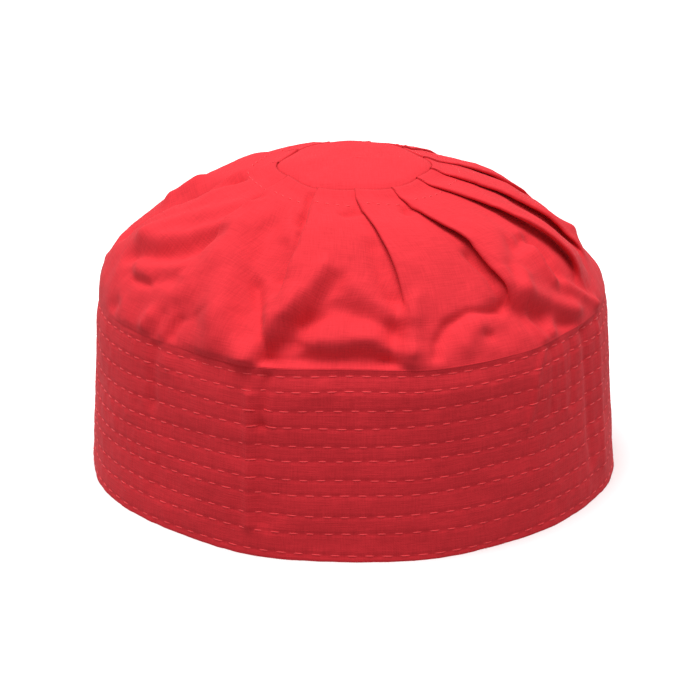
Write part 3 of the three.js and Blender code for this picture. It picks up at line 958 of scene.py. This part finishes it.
ring_radius = float(plain_radius(0.0, RING_DOWN))
ring_count = round(2 * math.pi * ring_radius / RING_STEP)
ring_angle = (np.arange(ring_count) + 0.35) * 360 / ring_count
fold_here = np.array([float(fold_angle(index, np.array([RING_DOWN]))[0]) for index in range(len(FOLDS))])
gap = np.min(np.abs(turn(fold_here[None, :], ring_angle[:, None])), axis=1)
ring_angle = ring_angle[gap > 2.6]
before = crown_surface(ring_angle - 1.2, RING_DOWN)
after = crown_surface(ring_angle + 1.2, RING_DOWN)
lower = crown_surface(ring_angle, RING_DOWN + 0.01)
upper = crown_surface(ring_angle, RING_DOWN - 0.01)
ring_along = unit_vectors(after - before)
ring_out = unit_vectors(np.cross(ring_along, upper - lower))
ring_out *= np.sign(ring_out[:, 2:3])
ring_centre = crown_surface(ring_angle, RING_DOWN) + ring_out * 0.08
ring_stitches = make_stitches("tip_ring_stitches", ring_centre, ring_along, ring_out,
                              np.full(len(ring_angle), RING_STEP * 0.62), 0.35)

# %% [markdown]
# ## Materials as sums
#
# A material is a net of nodes. Written node by node it hides what it works out, so one output is wrapped in a
# class that can be added and multiplied, and one method makes every other kind of node.

# %% Node helpers
class Wire:
    """One output of a material's nodes, which can be used in sums."""

    def __init__(self, nodes, socket):
        self.nodes = nodes
        self.socket = socket

    def sum(self, operation, first, second):
        return self.nodes.add("ShaderNodeMath", {"operation": operation}, {0: first, 1: second})

    def __add__(self, other):
        return self.sum("ADD", self, other)

    def __radd__(self, other):
        return self.sum("ADD", other, self)

    def __sub__(self, other):
        return self.sum("SUBTRACT", self, other)

    def __rsub__(self, other):
        return self.sum("SUBTRACT", other, self)

    def __mul__(self, other):
        return self.sum("MULTIPLY", self, other)

    def __rmul__(self, other):
        return self.sum("MULTIPLY", other, self)


class Nodes:
    """The nodes of one material."""

    def __init__(self, name):
        self.material = bpy.data.materials.new(name)
        self.material.use_nodes = True
        self.tree = self.material.node_tree
        self.tree.nodes.clear()
        self.shader = self.tree.nodes.new("ShaderNodeBsdfPrincipled")
        end = self.tree.nodes.new("ShaderNodeOutputMaterial")
        self.tree.links.new(self.shader.outputs[0], end.inputs[0])

    def feed(self, socket, value):
        if isinstance(value, Wire):
            self.tree.links.new(value.socket, socket)
        else:
            socket.default_value = value

    def add(self, kind, settings=None, inputs=None, output=0):
        node = self.tree.nodes.new(kind)
        for key, value in (settings or {}).items():
            setattr(node, key, value)
        for key, value in (inputs or {}).items():
            self.feed(node.inputs[key], value)
        return Wire(self, node.outputs[output])

    def blend(self, share, first, second):
        return self.add("ShaderNodeMix", {"data_type": "RGBA"}, {0: share, 6: first, 7: second}, 2)

    def set(self, **inputs):
        for key, value in inputs.items():
            self.feed(self.shader.inputs[key.replace("_", " ")], value)


print("node helpers ready")

# %% [markdown]
# ## Cotton
#
# Plain-woven cotton in red: a fine weave, slubs where a yarn is thicker, small crumples, and fuzz that
# catches a little light at the edges. It reads the cloth's own coordinates, so that the yarns run with each
# piece as it was cut. A picture of cloth would show its seams and repeat.

# %% Cotton
WEAVE = 0.00082
RED = (0.74, 0.029, 0.041, 1.0)
DEEP_RED = (0.58, 0.020, 0.029, 1.0)


def cotton(name, colour, deep, bump):
    nodes = Nodes(name)
    place = nodes.add("ShaderNodeUVMap", {"uv_map": "cloth"})
    across = nodes.add("ShaderNodeSeparateXYZ", {}, {0: place}, 0)
    along = nodes.add("ShaderNodeSeparateXYZ", {}, {0: place}, 1)
    turns = 2 * math.pi / WEAVE
    wander = nodes.add("ShaderNodeTexNoise", {}, {"Vector": place, "Scale": 260.0, "Detail": 1.0})
    warp = nodes.add("ShaderNodeMath", {"operation": "SINE"}, {0: across * turns + wander * 2.0})
    weft = nodes.add("ShaderNodeMath", {"operation": "SINE"}, {0: along * turns + wander * 2.0})
    weave = warp * weft
    wide = nodes.add("ShaderNodeMapping", {}, {"Vector": place, "Scale": (160.0, 2300.0, 1.0)})
    tall = nodes.add("ShaderNodeMapping", {}, {"Vector": place, "Scale": (2300.0, 160.0, 1.0)})
    slub_across = nodes.add("ShaderNodeTexNoise", {}, {"Vector": wide, "Scale": 1.0, "Detail": 1.0})
    slub_along = nodes.add("ShaderNodeTexNoise", {}, {"Vector": tall, "Scale": 1.0, "Detail": 1.0})
    slubs = slub_across + slub_along
    crumple = nodes.add("ShaderNodeTexNoise", {},
                        {"Vector": place, "Scale": 170.0, "Detail": 3.0, "Roughness": 0.6})
    broad = nodes.add("ShaderNodeTexNoise", {}, {"Vector": place, "Scale": 38.0, "Detail": 2.0})
    height = weave * 0.04 + slubs * 0.30 + crumple * 0.80
    normal = nodes.add("ShaderNodeBump", {}, {"Strength": bump, "Distance": 0.00035, "Height": height})
    share = (slubs - 1.0) * 1.1 + weave * 0.06 + (broad - 0.5) * 0.9 + 0.5
    nodes.set(Base_Color=nodes.blend(share, deep, colour), Roughness=0.86, Normal=normal,
              Sheen_Weight=0.08, Sheen_Roughness=0.45, Sheen_Tint=(1.0, 0.42, 0.45, 1.0),
              Specular_IOR_Level=0.2)
    return nodes.material


crown.data.materials.append(cotton("crown_cotton", RED, DEEP_RED, 0.55))
tip.data.materials.append(cotton("tip_cotton", RED, DEEP_RED, 0.5))
band.data.materials.append(cotton("band_cotton", RED, DEEP_RED, 0.8))
print("cotton with a yarn every", round(WEAVE * 500, 2), "mm")

# %% [markdown]
# ## Thread
#
# The sewing thread is a little lighter and smoother than the cloth, because it is twisted hard. Its twist is
# only a fine bump, because a stitch is two pixels wide.

# %% Thread
def thread(name, colour):
    nodes = Nodes(name)
    place = nodes.add("ShaderNodeTexCoord", {}, {}, 3)
    twist = nodes.add("ShaderNodeTexNoise", {}, {"Vector": place, "Scale": 2600.0, "Detail": 1.0})
    normal = nodes.add("ShaderNodeBump", {}, {"Strength": 0.5, "Distance": 0.0001, "Height": twist})
    nodes.set(Base_Color=colour, Roughness=0.55, Normal=normal, Sheen_Weight=0.15,
              Sheen_Tint=(1.0, 0.5, 0.5, 1.0), Specular_IOR_Level=0.4)
    return nodes.material


red_thread = thread("red_thread", (0.84, 0.040, 0.052, 1.0))
for stitches in (outer_stitches, inner_stitches, ring_stitches):
    stitches.data.materials.append(red_thread)
print("materials", [material.name for material in bpy.data.materials])

# %% [markdown]
# ## What each piece is
#
# The pieces ride on the body of the cap and take the places of its plain solids.

# %% Declarations
for piece in (crown, tip, band, outer_stitches, inner_stitches, ring_stitches):
    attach(piece, "root")
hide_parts("band")
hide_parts("crown")
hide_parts("tip")
print("sheets", [piece.name for piece in (band, crown, tip)])

# %% [markdown]
# ## Stage
#
# A pale floor, a wide soft light overhead and an even pale surround, as in a plain product photograph. The
# surround fills the shadows, and the floor throws no red or white back on the cap.

# %% Floor, light and camera
SURROUND = 0.46
SUN = 3.7
SUN_WIDE = 50
CAMERA_DOWN = 19.85

floor_bm = bmesh.new()
bmesh.ops.create_grid(floor_bm, x_segments=1, y_segments=1, size=2.5)
floor_mesh = bpy.data.meshes.new("floor")
floor_bm.to_mesh(floor_mesh)
floor_bm.free()
floor = bpy.data.objects.new("floor", floor_mesh)
bpy.context.scene.collection.objects.link(floor)
floor_nodes = Nodes("pale_floor")
floor_nodes.set(Base_Color=(0.9, 0.9, 0.9, 1.0), Roughness=0.9, Specular_IOR_Level=0.0)
floor.data.materials.append(floor_nodes.material)
floor.visible_diffuse = False

world = bpy.data.worlds.new("surround")
bpy.context.scene.world = world
world.use_nodes = True
background = world.node_tree.nodes["Background"]
background.inputs["Color"].default_value = (1.0, 1.0, 1.0, 1.0)
background.inputs["Strength"].default_value = SURROUND

sun = bpy.data.lights.new("overhead", "SUN")
sun.energy = SUN
sun.angle = math.radians(SUN_WIDE)
overhead = bpy.data.objects.new("overhead", sun)
overhead.rotation_euler = (math.radians(3), math.radians(-5), 0.0)
bpy.context.scene.collection.objects.link(overhead)

camera_data = bpy.data.cameras.new("camera")
camera_data.lens = 108.5
camera_data.sensor_width = 36.0
camera_data.clip_start = 0.01
camera_data.clip_end = 20.0
camera = bpy.data.objects.new("camera", camera_data)
camera.location = (-0.00148, -0.700, 0.2911)
camera.rotation_euler = (math.radians(90 - CAMERA_DOWN), 0.0, 0.0)
bpy.context.scene.collection.objects.link(camera)
bpy.context.scene.camera = camera
bpy.context.scene.view_settings.view_transform = "Standard"
print("camera", [round(value, 3) for value in camera.location], "looking down", CAMERA_DOWN, "degrees")
